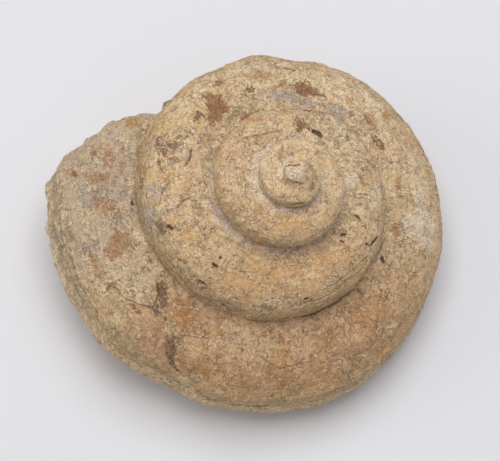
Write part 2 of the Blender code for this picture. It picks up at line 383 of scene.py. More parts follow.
def tube_coordinates(points):
    """The turn, section angle, coil radius and seam distance in mm of skin points."""
    height = points @ axis
    sideways, backwards = points @ side, points @ back
    reach = np.hypot(sideways, backwards)
    first = ((START_BEARING - np.arctan2(backwards, sideways)) / math.tau) % 1
    found = []
    for k in range(WHOLE_TURNS + 1):
        turn = first - k
        radius = coil_radius(turn)
        out = (reach - radius) / radius
        up = (height + drop(radius)) / radius
        out = out / np.where(out > 0, OUTER_REACH, INNER_REACH)
        half_height, squareness = half_form(up, turn)
        up = up / half_height
        size = (np.abs(out) ** squareness + np.abs(up) ** squareness) ** (1 / squareness)
        size[(turn > LAST_TURN) | (turn < FIRST_TURN)] = FAR
        power = squareness / 2
        angle = np.arctan2(np.sign(up) * np.abs(up) ** power, np.sign(out) * np.abs(out) ** power)
        found.append((size, turn, angle, radius))
    sizes = np.array([f[0] for f in found])
    order = np.argsort(sizes, axis=0)
    rows = np.arange(len(points))
    best, second = order[0], order[1]

    def pick(column, which):
        return np.array([f[column] for f in found])[which, rows]

    seam = (sizes[second, rows] - 1) * HALF_HEIGHT * pick(3, second)
    return pick(1, best), pick(2, best), pick(3, best), np.maximum(seam, 0)

# %% [markdown]
# ## From the photograph's pixels to the stone
#
# Each stain, crack and pit is written in pixels of the photograph. A ray from the camera
# through a pixel finds the skin, so a crack lies on the stone and stays there from any side.
# Marks aren't pictures: each only says where a mineral, a fracture or a hole is, and its colour
# and grain come from the material. Nothing on rock has a clean outline, so the points are
# pushed about by noise before they are measured, which makes every mark's edge ragged.
# Vector noise starts from the clock unless it has a seed, so it gets one, and each run of
# the script gives the same edges.

# %% Cast pixels onto the skin
PIXEL_STEP = 1.5
HIDDEN = 2.0


def mesh_arrays(mesh):
    """The mesh's points and normals as arrays."""
    points = np.zeros(len(mesh.vertices) * 3, np.float32)
    normals = np.zeros_like(points)
    mesh.vertices.foreach_get("co", points)
    mesh.vertices.foreach_get("normal", normals)
    return points.reshape(-1, 3).astype(float), normals.reshape(-1, 3).astype(float)


skin_points, skin_normals = mesh_arrays(skin)
skin_tree = bvhtree.BVHTree.FromPolygons(
    [Vector(p) for p in skin_points], [tuple(f.vertices) for f in skin.polygons]
)
eye = (camera.location - TIP) / MM


def on_skin(pixel):
    """The skin point that a pixel shows, in mm from the tip, or None beside the stone."""
    return skin_tree.ray_cast(eye, sight(pixel))[0]


def trace(pixels):
    """A line of pixels as points on the skin, without the ones that miss it."""
    dense = [np.array(pixels[0], float)]
    for start, end in zip(pixels, pixels[1:]):
        start, end = np.array(start, float), np.array(end, float)
        count = max(int(np.linalg.norm(end - start) / PIXEL_STEP), 1)
        dense += [start + (end - start) * i / count for i in range(1, count + 1)]
    hits = [on_skin(tuple(p)) for p in dense]
    return np.array([tuple(h) for h in hits if h is not None])


def pixels_of(points):
    """The pixel at which the camera sees each point."""
    away = points - np.array(eye)
    right, up, back = (away @ np.array(v) for v in (view_right, view_up, view_back))
    return np.stack((
        IMAGE_SIZE[0] / 2 - FOCAL_PIXELS * right / back,
        IMAGE_SIZE[1] / 2 + FOCAL_PIXELS * up / back,
    ), axis=1)


print("the tip's pixel meets the skin at", [round(c, 2) for c in on_skin(TIP_PIXEL)])

# %% Measure from lines and outlines
MM_PER_PIXEL = 0.185
END_TAPER = 0.22
END_WIDTH = 0.35
WANDER_SEED = 7

noise.seed_set(WANDER_SEED)


def distance_to(line, points, limit):
    """Each point's distance in mm to a line on the skin, as far as a limit, and where along
    the line it is nearest, from 0 at its start to 1 at its end."""
    distance, along = np.full(len(points), float(limit)), np.full(len(points), 0.5)
    if not len(line):
        return distance, along
    low, high = line.min(0) - limit, line.max(0) + limit
    close = np.flatnonzero(((points > low) & (points < high)).all(axis=1))
    near, best, where = points[close], distance[close], along[close]
    count = max(len(line) - 1, 1)
    for i in range(count):
        start, run = line[i], line[min(i + 1, len(line) - 1)] - line[i]
        if np.linalg.norm(run) > HIDDEN:
            continue
        part = np.clip((near - start) @ run / max(run @ run, 1e-9), 0, 1)
        reach = np.linalg.norm(near - start - part[:, None] * run, axis=1)
        nearer = reach < best
        best[nearer] = reach[nearer]
        where[nearer] = ((i + part) / count)[nearer] if len(line) > 1 else 0.5
    distance[close], along[close] = best, where
    return distance, along


def inside(outline, places):
    """How far each place lies inside an outline of pixels, in mm, and below 0 outside it."""
    corners = np.array(outline, float)
    distance, within = np.full(len(places), FAR), np.zeros(len(places), bool)
    for start, end in zip(corners, np.roll(corners, -1, axis=0)):
        run = end - start
        part = np.clip((places - start) @ run / max(run @ run, 1e-9), 0, 1)
        reach = np.linalg.norm(places - start - part[:, None] * run, axis=1)
        distance = np.minimum(distance, reach * MM_PER_PIXEL)
        crosses = (start[1] > places[:, 1]) != (end[1] > places[:, 1])
        if run[1]:
            meets = start[0] + (places[:, 1] - start[1]) / run[1] * run[0]
            within ^= crosses & (places[:, 0] < meets)
    return np.where(within, distance, -distance)


def wander(points, normals, steps):
    """Points pushed along the skin by noise, each step by a reach at a grain, in mm."""
    push = np.zeros_like(points)
    for reach, grain in steps:
        push += reach * np.array([noise.noise_vector(Vector(p) / grain) for p in points])
    push -= normals * (push * normals).sum(axis=1)[:, None]
    return points + push

# %% Cover the skin with a kind of mark
AREA_EDGE = 0.9
OUTLINE_MARGIN = 8


def line_cover(marks, points):
    """1 on a mark's line, 0.5 at its edge and 0 as far out again."""
    cover = np.zeros(len(points))
    for width, *pixels in marks:
        distance = distance_to(trace(pixels), points, 2 * width)[0]
        cover = np.maximum(cover, 1 - distance / (2 * width))
    return cover


def area_cover(outlines, places, facing):
    """1 well inside an outline, 0.5 at its edge and 0 outside, on the side that faces us."""
    cover = np.zeros(len(places))
    for outline in outlines:
        low = np.min(outline, axis=0) - OUTLINE_MARGIN
        high = np.max(outline, axis=0) + OUTLINE_MARGIN
        close = np.flatnonzero(facing & ((places > low) & (places < high)).all(axis=1))
        depth = inside(outline, places[close]) / (2 * AREA_EDGE)
        cover[close] = np.maximum(cover[close], np.clip(0.5 + depth, 0, 1))
    return cover


def slit(line, width, points):
    """How deep a crack is, from 0 beside it to 1 along its middle, and narrow at its ends."""
    distance, along = distance_to(line, points, 2 * width)
    ends = smoothstep(0, END_TAPER, np.minimum(along, 1 - along))
    return np.maximum(1 - distance / (width * (END_WIDTH + (1 - END_WIDTH) * ends)), 0)

# %% [markdown]
# ## The marks
#
# Iron from the ground has stained the stone rust brown, amber and orange. Manganese has made
# dark spots. Pale crusts lie in patches, and grey and olive mud is left where water ran off.
# A line is (width in mm, pixel, pixel, ...), and an area is an outline of pixels.

# %% Cracks, seam cracks and pits
CRACKS = (
    (0.38, (293, 318), (314, 313.5), (334.4, 303), (346, 294), (360.8, 279), (372, 262)),
    (0.22, (231.7, 313.8), (246, 317.5), (261, 319.7), (278, 319), (293, 316.8)),
    (0.38, (184, 286), (198, 296), (208, 302), (218.6, 308), (223, 305)),
    (0.32, (216, 306), (223, 308.5), (231, 313)),
    (0.26, (372, 261), (375.4, 256.7), (385.7, 237.6)),
    (0.20, (268.4, 362), (280, 368.8), (290, 367), (302, 363.7), (313.8, 361.5)),
    (0.17, (258, 355), (268.4, 362)),
    (0.17, (356.4, 289), (363.7, 296)),
    (0.16, (378.4, 302), (377.6, 325.6)),
    (0.18, (176, 176), (163, 190), (158, 208)),
    (0.26, (192.5, 196.7), (181, 201.8), (177, 208)),
    (0.28, (192.5, 148), (190, 156), (188.7, 162), (183.6, 167)),
    (0.20, (237, 144), (242, 139), (257.5, 135), (270, 132.5), (283, 130)),
    (0.20, (225.7, 161), (228, 156), (232, 149.5)),
    (0.18, (221.8, 194), (224.4, 187.8)),
    (0.22, (238, 126), (245, 117.6), (256, 111), (270, 108.7), (290, 108), (312, 110)),
    (0.18, (311.7, 110), (334.6, 116), (346, 123), (356, 133)),
    (0.28, (148, 155), (146.6, 161), (144, 168.6), (142.8, 182.7), (140.2, 194)),
    (0.22, (283, 167.3), (290.7, 164.8), (297, 165.4)),
    (0.20, (338.5, 170), (342, 182.7), (343.6, 193)),
    (0.22, (60, 210), (61.7, 227.6), (63, 239), (67.4, 252), (73, 266), (79.5, 286), (87, 299)),
    (0.26, (87, 299), (93.6, 309), (98.7, 324.6)),
    (0.20, (184, 335), (193, 336.5), (200.7, 338.6), (211, 331)),
    (0.18, (180, 268.5), (181.6, 280)),
    (0.20, (135.7, 361.6), (144.6, 368)),
    (0.22, (157, 383), (165, 387.5), (172.6, 391)),
    (0.16, (223, 401.8), (243, 404.5), (264, 405.5), (286, 404.5), (308, 401.8), (330, 396)),
    (0.20, (200, 399), (216, 399), (236, 401), (258, 401.5)),
    (0.24, (170, 356.5), (175, 368), (181.6, 374)),
    (0.24, (142, 269), (145.9, 267), (149, 269), (151, 272.5)),
    (0.26, (155, 283), (158.8, 292), (156, 300), (152.5, 307)),
    (0.20, (151, 308), (140, 305), (126, 299), (116, 288)),
    (0.18, (408.6, 180), (410, 187), (412, 194)),
    (0.18, (399.7, 218), (402, 226), (404.8, 233.7), (411, 240), (421, 243)),
    (0.20, (371.6, 134), (376, 140), (383, 149)),
    (0.18, (315, 293), (334, 284), (352, 271), (366.6, 256.7)),
    (0.16, (322, 296), (340, 286), (357, 273), (370, 258)),
    (0.16, (300, 305), (326, 297), (345, 284)),
    (0.18, (88.5, 248), (90, 255), (91.5, 261)),
    (0.20, (167, 333), (166, 346), (168, 358), (172, 366)),
    (0.20, (172, 277), (176, 288), (180, 296)),
    (0.18, (265, 191), (268, 196), (273, 201)),
    (0.18, (294, 206), (302, 204), (308, 201)),
    (0.18, (304, 122), (309, 126), (314, 131)),
    (0.16, (358, 174), (362, 180), (364, 188)),
)
PITS = (
    (0.24, 0.5, (220.3, 257)),
    (0.24, 0.45, (213.6, 264), (217, 266)),
    (0.24, 0.45, (342.2, 234.8), (345.6, 234)),
    (0.18, 0.3, (340.5, 241.5), (343, 242)),
    (0.22, 0.4, (366.6, 243.7), (368, 244.2)),
    (0.24, 0.55, (371.5, 245), (374, 241.5), (377, 238)),
    (0.30, 0.5, (381.6, 258.5), (383.4, 262)),
    (0.34, 0.5, (313.5, 131.3), (317.5, 133), (321, 135.8)),
    (0.18, 0.4, (181, 394), (186, 395.6)),
    (0.15, 0.3, (200, 281), (205, 285)),
    (0.30, 0.4, (132, 203), (133, 205)),
    (0.20, 0.3, (204.5, 229)),
    (0.20, 0.25, (264, 147)),
    (0.26, 0.35, (168.5, 226), (171, 229)),
    (0.20, 0.25, (364, 226)),
    (0.20, 0.25, (356, 216), (359, 218)),
    (0.18, 0.25, (268, 301)),
    (0.16, 0.25, (273, 299.5)),
    (0.20, 0.3, (242.5, 349.5)),
    (0.24, 0.3, (305, 299.5), (308, 299)),
    (0.14, 0.2, (297.8, 174.6)),
    (0.18, 0.3, (91, 282)),
)
print(len(CRACKS), "cracks and", len(PITS), "pits")

# %% Stains and crusts
RUST_LINES = (
    (0.42, (245, 89), (249, 86.8), (254, 87.5), (254, 90), (249, 91)), (0.4, (284, 69), (293, 70)),
    (0.35, (316, 94), (324, 96)), (0.4, (271, 120)), (0.35, (303, 125), (309, 129)),
    (0.3, (364.5, 114.5), (367, 122), (374, 126)),
    (0.3, (372, 134), (376, 142), (382, 149), (383, 144), (377, 136)),
    (0.4, (73, 172), (77, 176)), (0.4, (106, 292.7)),
    (0.45, (131, 306), (140, 311)), (0.3, (203, 290), (206, 288)), (0.26, (317, 391)),
    (0.35, (350.5, 110), (353.5, 117)), (0.3, (95, 310), (98, 318)),
    (0.35, (165, 314), (165.5, 320)), (0.3, (364, 158.5), (373, 163.5)),
    (0.3, (289, 204.6), (303, 204.4)), (0.2, (288, 165), (299, 164.8)), (0.2, (293, 183.5), (303, 183)),
    (0.4, (180, 259), (186, 262)), (0.3, (304, 109), (312, 111)),
)
RUST_AREAS = (
    ((205, 93), (209, 91), (215, 92), (221, 95), (220, 101), (228, 102), (231, 107), (228, 113),
     (222, 114), (221, 120), (216, 124), (211, 127), (208, 125), (209, 120), (206, 116), (208, 110),
     (206, 104), (207, 100), (204, 97)),
    ((192.4, 113), (197, 112.4), (202, 115), (200, 118), (198, 120), (199, 124), (195, 123), (193, 119)),
    ((213, 84), (217, 81), (223, 81), (225, 83.5), (221, 85.5), (215, 85)),
    ((296, 82), (304, 81), (312, 85), (317, 92), (313, 97), (304, 96), (298, 92), (293, 88)),
    ((292, 116), (297, 116), (303, 122), (304, 128), (300, 131), (296, 125)),
    ((156, 285), (162, 282), (166, 290), (167, 303), (162, 306), (158, 296)),
    ((160, 150), (166, 149), (167, 157), (162, 159)),
)
AMBER_AREAS = (
    ((243, 75), (252, 72), (264, 72.4), (273, 74), (278, 77), (272, 78.4), (260, 77.6), (252, 79)),
    ((272, 85), (282, 83), (292, 86), (284, 88), (274, 88)),
    ((280, 108), (287, 108), (293, 111), (291, 114), (284, 113)),
    ((243, 118), (250, 116), (257, 115.6), (264, 118), (258, 122), (250, 121.5), (245, 123)),
    ((346, 95), (352, 94), (354, 100), (350, 104), (346, 101)),
    ((161, 174), (168, 173), (171, 178), (166, 182), (162, 180)),
    ((166, 224), (173, 223), (176, 229), (172, 233), (166, 230)),
    ((394, 178), (398, 177), (402, 186), (398, 192), (394, 187)),
    ((90, 252), (95, 255), (98, 274), (93, 274)),
    ((178, 298), (189, 302), (190, 330), (182, 332), (176, 316)),
    ((126, 122), (138, 119), (142, 124), (130, 129)), ((357, 174), (362, 172), (367, 188), (362, 190)),
    ((384, 110), (390, 114), (388, 122), (383, 119)), ((362, 113), (370, 112), (376, 122), (370, 128)),
)
DARK_LINES = (
    (0.26, (154, 138), (159, 136), (163, 140), (163, 148), (158, 154), (154, 150)),
    (0.26, (180, 131), (188, 131), (190, 135), (184, 139), (178, 137)), (0.3, (207, 94), (216, 94)),
    (0.24, (195, 113), (198, 121)), (0.4, (168, 337), (172, 342)), (0.5, (172.5, 343), (170, 355)),
    (0.4, (160, 287), (163, 300)), (0.35, (168, 225), (174, 230)), (0.26, (293, 317.5), (262, 320)),
    (0.4, (305, 299.5), (313, 299)), (0.26, (298, 89), (308, 91)), (0.26, (318, 95), (322, 96)),
    (0.35, (141, 186), (141, 194)), (0.26, (365, 116), (369, 123)), (0.3, (158, 160), (164, 172)),
    (0.3, (363, 226), (365, 229)), (0.24, (325, 119.5), (330, 121)), (0.3, (356, 215), (360, 220)),
    (0.3, (311.5, 183), (311, 190)), (0.3, (222, 304), (229, 310)), (0.28, (188, 268), (196, 276)),
    (0.3, (199, 281), (206, 286)), (0.26, (170, 360), (179, 372)), (0.24, (154, 213), (158, 224)),
    (0.3, (295, 128), (299, 133)), (0.24, (280, 84), (292, 84)), (0.26, (146, 253), (152, 262)),
)
DARK_AREAS = (
    ((168, 142), (174, 141), (178, 147), (175, 153), (170, 152)),
    ((171, 156), (177, 157), (176, 163), (170, 163)),
    ((154, 222), (161, 217), (166, 224), (168, 232), (162, 236), (156, 231)),
    ((156, 285), (160, 280), (165, 283), (167, 294), (168, 306), (162, 311), (157, 307), (160, 296)),
    ((166, 337), (174, 334), (177, 341), (175, 352), (174, 362), (169, 362), (168, 350)),
    ((151, 309), (158, 306), (160, 314), (153, 316)), ((154, 136), (162, 136), (164, 148), (157, 154)),
)
CRUST_LINES = (
    (0.35, (170.5, 203)), (0.35, (185, 216), (186, 221)),
    (0.3, (253, 162)), (0.35, (309, 155.5)), (0.35, (331, 173), (332, 176)),
    (0.4, (184, 245), (188, 248)),
    (0.45, (165, 328), (168, 332)), (0.3, (171, 236), (175, 240)), (0.4, (206, 318), (214, 322)),
    (0.4, (100, 283), (106, 280)), (0.35, (152, 314), (156, 319)), (0.3, (293, 135), (303, 136)),
)
CRUST_AREAS = (
    ((208, 206), (214, 207), (222, 214), (232, 225), (242, 234), (252, 240), (246, 243), (232, 236),
     (218, 226), (210, 216)),
    ((287, 171), (291, 167), (298, 168), (305, 173), (305, 179), (299, 182), (293, 178), (288, 177)),
    ((344, 176), (350, 173), (357, 175), (359, 181), (352, 185), (345, 183)),
    ((416, 188), (422, 187), (426, 200), (430, 214), (436, 226), (436, 246), (428, 252), (416, 244),
     (404, 232), (400, 222), (406, 214), (414, 212), (418, 204)),
    ((236, 70), (248, 66), (266, 65), (262, 69), (244, 72)),
)
GREY_AREAS = (
    ((75, 192), (86, 187), (104, 188), (112, 194), (106, 204), (92, 208), (80, 206)),
    ((112, 190), (122, 186), (128, 192), (120, 202), (112, 204)),
    ((330, 106), (340, 103), (350, 110), (350, 119), (340, 121), (331, 116)),
    ((262, 92), (276, 88), (292, 92), (302, 98), (322, 100), (330, 107),
     (310, 108), (288, 102), (266, 98)),
    ((80, 246), (96, 240), (100, 250), (86, 262)), ((150, 186), (158, 184), (162, 196), (152, 200)),
    ((140, 212), (150, 206), (156, 218), (150, 228)), ((264, 301), (270, 299), (277, 301), (275, 306)),
)
# Pale patches: partly the stone's paler colour, partly painted light on the top and the top right.
PALE_AND_LIT_AREAS = (
    ((224, 336), (240, 328), (262, 334), (276, 344), (268, 358), (246, 362), (230, 354)),
    ((186, 346), (198, 343), (203, 354), (190, 360)),
    ((256, 300), (270, 296), (284, 300), (280, 308), (262, 308)),
    ((210, 246), (226, 242), (236, 254), (222, 264)),
    ((160, 106), (176, 100), (196, 102), (190, 112), (170, 116)),
    ((300, 214), (320, 212), (326, 222), (306, 226)), ((258, 158), (268, 156), (272, 164), (262, 168)),
    ((344, 190), (356, 188), (362, 200), (350, 206)), ((392, 196), (402, 204), (404, 222), (396, 216)),
)
OLIVE_LINES = (
    (1.7, (150, 208), (156, 232), (170, 258), (186, 280)), (1.2, (140, 200), (146, 222)),
    (1.2, (200, 296), (216, 302), (240, 312)),
    (0.9, (276, 204), (300, 208), (318, 196)), (0.7, (307, 164), (314, 171), (315, 178), (311, 189)),
    (1.2, (222, 128), (232, 116), (250, 108)), (1.2, (57, 190), (58, 230), (66, 262), (88, 312)),
    (1.4, (106, 326), (140, 356), (180, 384)), (1.0, (160, 60), (205, 78), (222, 70)),
    (1.0, (112, 300), (122, 312)), (0.8, (140, 130), (136, 160)), (1.0, (214, 142), (206, 168)),
)
PINK_LINES = (
    (2.6, (195, 175), (206, 190)), (2.0, (186, 160), (200, 150)), (2.4, (140, 330), (156, 345)),
    (1.8, (196, 305), (212, 312)), (2.2, (218, 208), (236, 236)), (2.0, (395, 150), (414, 170)),
    (1.8, (240, 152), (232, 170)), (2.0, (300, 330), (340, 315)), (2.2, (350, 350), (330, 372)),
    (1.6, (104, 152), (112, 164)), (1.6, (116, 250), (120, 236)), (1.8, (318, 240), (334, 226)),
)
ORANGE_LINES = (
    (1.6, (183, 226), (190, 240), (196, 246)), (1.6, (187, 300), (190, 320)),
    (1.3, (126, 124), (140, 122)),
    (2.0, (280, 345), (286, 362)), (2.4, (300, 380), (330, 378)), (2.0, (330, 262), (350, 256)),
    (2.4, (246, 276), (300, 272)), (2.2, (280, 222), (310, 222)), (2.0, (320, 150), (334, 162)),
    (1.6, (300, 155), (286, 158)), (1.6, (215, 285), (240, 282)), (1.4, (150, 131), (160, 121)),
    (2.0, (355, 330), (385, 300)), (1.6, (190, 360), (212, 372)),
    (1.0, (97, 212), (112, 206), (118, 214)),
)
RED_AREAS = (
    ((103, 256), (107, 244), (113, 235), (120, 230), (128, 231), (133, 240),
     (130, 251), (122, 256), (112, 260)),
    ((102, 152), (108, 149), (114, 152), (113, 163), (107, 168), (102, 160)),
    ((96, 262), (104, 262), (104, 276), (95, 276)), ((70, 168), (80, 168), (80, 178), (71, 178)),
    ((92, 200), (104, 198), (114, 204), (108, 214), (98, 212)),
    ((84, 174), (104, 172), (106, 184), (90, 184)),
)
FACE_LIMIT = 0.03
FLAKE = ((104, 283), (118, 275), (134, 264), (148, 263), (158, 270), (155, 280), (158.5, 291),
         (153, 307), (140, 305), (126, 299), (114, 290))
print(len(RUST_LINES + DARK_LINES + CRUST_LINES), "thin stains and crusts")

# %% [markdown]
# ## A finer skin where the cracks run
#
# A crack is a quarter of a millimetre wide, finer than the skin's squares. Splitting every
# face would make far too many, so only those beside a crack or pit are split, twice, and
# those along the seams between the whorls once.

# %% Split the faces beside cracks, pits and seams
SPLIT_MARGINS = (0.70, 0.34)
SEAM_SPLIT = 0.8


def split_near_marks(mesh, lines):
    """Splits the mesh's edges that lie near the lines, once for each margin."""
    work = bmesh.new()
    work.from_mesh(mesh)
    for margin in SPLIT_MARGINS:
        work.verts.index_update()
        points = np.array([v.co for v in work.verts])
        near = np.zeros(len(points), bool)
        if margin == SPLIT_MARGINS[0]:
            _, angle, _, seam = tube_coordinates(points)
            near = (seam < SEAM_SPLIT) & (angle > 0)
        for width, line in lines:
            near |= distance_to(line, points, width + margin)[0] < width + margin
        edges = [e for e in work.edges if near[e.verts[0].index] and near[e.verts[1].index]]
        bmesh.ops.subdivide_edges(work, edges=edges, cuts=1, use_grid_fill=True)
    bmesh.ops.triangulate(work, faces=work.faces)
    bmesh.ops.recalc_face_normals(work, faces=work.faces)
    work.to_mesh(mesh)
    work.free()


crack_lines = [(width, trace(pixels)) for width, *pixels in CRACKS]
pit_lines = [(width, depth, trace(pixels)) for width, depth, *pixels in PITS]
split_near_marks(skin, crack_lines + [(p[0], p[-1]) for p in pit_lines])
skin_points, skin_normals = mesh_arrays(skin)
turn, angle, radius, seam = tube_coordinates(skin_points)
print("the skin has", len(skin.polygons), "triangles")

# %% [markdown]
# ## Weathering
#
# Each point moves along its normal by a height in millimetres. Broad waves and lumps match the
# plain solid. Smaller pitting, growth lines across the whorls and fine spiral lines low on the
# whorls are added here, and cracks and pits are cut in last.

# %% Heights of the worn surface
WEATHERING = ((0.45, 13.0), (0.28, 4.5), (0.17, 2.4), (0.11, 1.35))
WEATHERING_OFFSET = (37.0, 11.0, 5.0)
GROWTH_HEIGHT = 0.10
GROWTH_LINES_PER_TURN = 84
SPIRAL_HEIGHT = 0.07
SPIRAL_SPACING = 0.85
SPIRAL_ANGLES = ((0.85, 0.35), (-1.3, -0.6))
LINE_WAVES, LINE_PATCHES = 5.0, 7.0
LINE_RADII = (2, 8)
MOUTH_GRIT = ((0.50, 3.0), (0.30, 1.4))
MOUTH_GRIT_LEVEL = 0.25
GRIT_FADE = (-0.15, -0.05)


def weathering(points):
    """Waves and pitting all over the stone, in mm."""
    height = np.zeros(len(points))
    for k, point in enumerate(points):
        place = Vector(point * MM)
        height[k] = sum(h * noise.noise(place / (grain * MM)) for h, grain in WEATHERING)
    return height


def growth_lines(points):
    """Uneven growth lines across the whorls, and spiral lines near their lower edges."""
    wave = np.array([noise.noise(Vector(p) / LINE_WAVES) for p in points])
    offset = Vector(WEATHERING_OFFSET)
    patch = np.array([noise.noise(Vector(p) / LINE_PATCHES + offset) for p in points])
    across = np.sin(math.tau * (turn * GROWTH_LINES_PER_TURN + 1.5 * wave + 0.25 * angle))
    around = angle * HALF_HEIGHT * radius / SPIRAL_SPACING
    along = np.sin(math.tau * (around + 0.9 * wave))
    above, below = SPIRAL_ANGLES
    low = smoothstep(*above, angle) * smoothstep(*below, angle)
    lines = GROWTH_HEIGHT * across * np.clip(patch + 0.25, 0, 1)
    lines += SPIRAL_HEIGHT * along * low * np.clip(0.9 - 1.4 * patch, 0, 1.3)
    return lines * smoothstep(*LINE_RADII, radius)


def grit(points):
    """The rougher grain of the broken mouth."""
    rough = smoothstep(*GRIT_FADE, turn)
    height = np.zeros(len(points))
    for k in np.flatnonzero(rough > 0):
        point = Vector(points[k])
        eaten = sum(h * noise.turbulence(point / grain, 2, False) for h, grain in MOUTH_GRIT)
        height[k] = rough[k] * (MOUTH_GRIT_LEVEL - eaten)
    return height

# %% Depths of cracks, pits and seams
CRACK_DEPTH = 1.25
CRACK_WANDER = ((0.20, 1.4), (0.09, 0.5))
STAIN_WANDER = ((0.50, 1.7), (0.22, 0.6))
SEAM_DEPTH = 0.34
SEAM_WIDTH = 0.42
FLAKE_HEIGHT = 0.34
FLAKE_EDGE = 0.16
PATCH_GRAIN = 3.1

crack_points = wander(skin_points, skin_normals, CRACK_WANDER)
stain_points = wander(skin_points, skin_normals, STAIN_WANDER)
stain_places = pixels_of(stain_points)
facing = ((np.array(eye) - skin_points) * skin_normals).sum(axis=1) > FACE_LIMIT * TIP_DISTANCE / MM
crack_depth = np.zeros(len(skin_points))
for width, line in crack_lines:
    crack_depth = np.maximum(crack_depth, CRACK_DEPTH * width * slit(line, width, crack_points))
pit_depth = np.zeros(len(skin_points))
for width, depth, line in pit_lines:
    distance = distance_to(line, crack_points, 2 * width)[0]
    pit_depth = np.maximum(pit_depth, depth * smoothstep(width * 1.4, width * 0.4, distance))
flake = np.zeros(len(skin_points))
flake[facing] = smoothstep(-FLAKE_EDGE, FLAKE_EDGE, inside(FLAKE, pixels_of(crack_points[facing])))
print("marks measured for", len(skin_points), "points")

# %% Move the skin
patchy = np.array([noise.noise(Vector(p) / PATCH_GRAIN) for p in skin_points])
seam_groove = bump(seam, SEAM_WIDTH) * np.clip(0.7 + 0.9 * patchy, 0, 1.3)
height = weathering(skin_points) + growth_lines(skin_points) + grit(skin_points)
height += FLAKE_HEIGHT * flake - crack_depth - pit_depth - SEAM_DEPTH * seam_groove
stone_points = (skin_points + skin_normals * height[:, None]) * MM + np.array(TIP)
stone_points[:, 2] = np.maximum(stone_points[:, 2], 0)
skin.vertices.foreach_set("co", stone_points.astype(np.float32).ravel())
skin.update()
print("the skin moved between", height.min().round(2), "and", height.max().round(2), "mm")

# %% Keep the marks on the skin for the material
ARC_STEPS = 2000
LINE_STRENGTH = 0.85
arc_turns = np.linspace(FIRST_TURN, LAST_TURN, ARC_STEPS)
arc_lengths = np.cumsum(coil_radius(arc_turns)) * math.tau * (LAST_TURN - FIRST_TURN) / ARC_STEPS


def stain(lines, areas=()):
    thin = LINE_STRENGTH * line_cover(lines, stain_points)
    return np.maximum(thin, area_cover(areas, stain_places, facing))


print("the tube is", round(arc_lengths[-1]), "mm long")

# %% Where each finish lies, as ranges of turn, section angle, radius and distance to a seam
FULL_CRACK, FULL_PIT = 0.26, 0.3
FRONT_FACE, FRONT_ANGLES = (0.2, 0.9), (0.30, 0.85)
SEAM_LINE, SEAM_ANGLES = 0.38, (0.0, 0.3)
RAMP_ANGLES, RAMP_REACH = (1.0, 2.0), (3.6, 1.0)
WALL_TOP, WALL_BOTTOM = (1.15, 0.10), (-0.9, -0.2)
MOUTH_FADE, MOUTH_WANDER = (-0.16, -0.06), 0.02
EARTH_AND_SHADE_START, EARTH_AND_SHADE_END, EARTH_AND_SHADE_ANGLES = (-0.62, -0.40), (-0.12, -0.20), (0.3, 0.8)
LIT_RIM_TURNS, LIT_RIM_ANGLES = (-1.0, -0.8), (0.35, -0.05)
TIP_RADII = (9.5, 5.5)
DEPOSIT_ANGLES, DEPOSIT_REACH, DEPOSIT_TURNS = (1.1, 1.7), (2.2, 0.5), (-0.9, -1.05)
LIT_SIDE_BEARING, LIT_SIDE_SPREAD = math.radians(35), (-0.2, 1.0)

bearings = START_BEARING - math.tau * turn
KEPT_FIELDS = {
    "rust": stain(RUST_LINES, RUST_AREAS),
    "dark": stain(DARK_LINES, DARK_AREAS),
    "crust": stain(CRUST_LINES, CRUST_AREAS),
    "grey": stain((), GREY_AREAS),
    "pale": stain((), PALE_AND_LIT_AREAS),
    "olive": stain(OLIVE_LINES),
    "pink": stain(PINK_LINES),
    "orange": stain(ORANGE_LINES),
    "red": stain((), RED_AREAS),
    "amber": stain((), AMBER_AREAS),
    # The side that faces the front, where shade is painted and the colour is warmed.
    "front": smoothstep(*FRONT_FACE, -np.sin(bearings)) * smoothstep(*FRONT_ANGLES, angle),
    "crack": np.clip(crack_depth / (CRACK_DEPTH * FULL_CRACK), 0, 1),
    "pit": np.clip(pit_depth / FULL_PIT, 0, 1),
    "seam": bump(seam, SEAM_LINE) * smoothstep(*SEAM_ANGLES, angle),
    # Where the upward ramps near the seams are made paler: partly the stone's tone, partly painted
    # light.
    "pale_lit_ramp": smoothstep(*RAMP_ANGLES, angle) * smoothstep(*RAMP_REACH, seam),
    # Where the steep walls are made darker brown: partly the stone's colour, partly painted shade.
    "wall": smoothstep(*WALL_TOP, angle) * smoothstep(*WALL_BOTTOM, angle),
    "mouth": smoothstep(*MOUTH_FADE, turn + MOUTH_WANDER * patchy),
    # The front of the last whorl: a browner colour there, partly painted shade.
    "earth_and_front_shade": smoothstep(*EARTH_AND_SHADE_START, turn) * smoothstep(*EARTH_AND_SHADE_END, turn)
    * smoothstep(*EARTH_AND_SHADE_ANGLES, angle),
    # The lower side of the last whorl, where light is painted.
    "rim": smoothstep(*LIT_RIM_TURNS, turn) * smoothstep(*LIT_RIM_ANGLES, angle),
    "tip": smoothstep(*TIP_RADII, radius),
    "flake": flake,
    "deposit": smoothstep(*DEPOSIT_ANGLES, angle) * smoothstep(*DEPOSIT_REACH, seam)
    * smoothstep(*DEPOSIT_TURNS, turn),
    # The right and back side, where light is painted.
    "painted_light_right_back": smoothstep(*LIT_SIDE_SPREAD, np.cos(bearings - LIT_SIDE_BEARING)),
    "along": np.interp(turn, arc_turns, arc_lengths),
    "around": angle * HALF_HEIGHT * radius,
}
for name, values in KEPT_FIELDS.items():
    kept = skin.attributes.new(name, "FLOAT", "POINT")
    kept.data.foreach_set("value", values.astype(np.float32))
print("kept on the skin:", ", ".join(KEPT_FIELDS))

# %% Make the stone
stone = bpy.data.objects.new("slit_shell_stone", skin)
bpy.context.scene.collection.objects.link(stone)
for face in skin.polygons:
    face.use_smooth = True
print("the stone is", [round(d / MM, 1) for d in stone.dimensions], "mm")

# %% [markdown]
# ## Shader maths as plain Python
#
# The stone's colour is many thin layers over each other, and node graphs of that size are hard
# to read. So one small class wraps a socket. Arithmetic on it adds Math nodes, and its node
# method makes every other node.

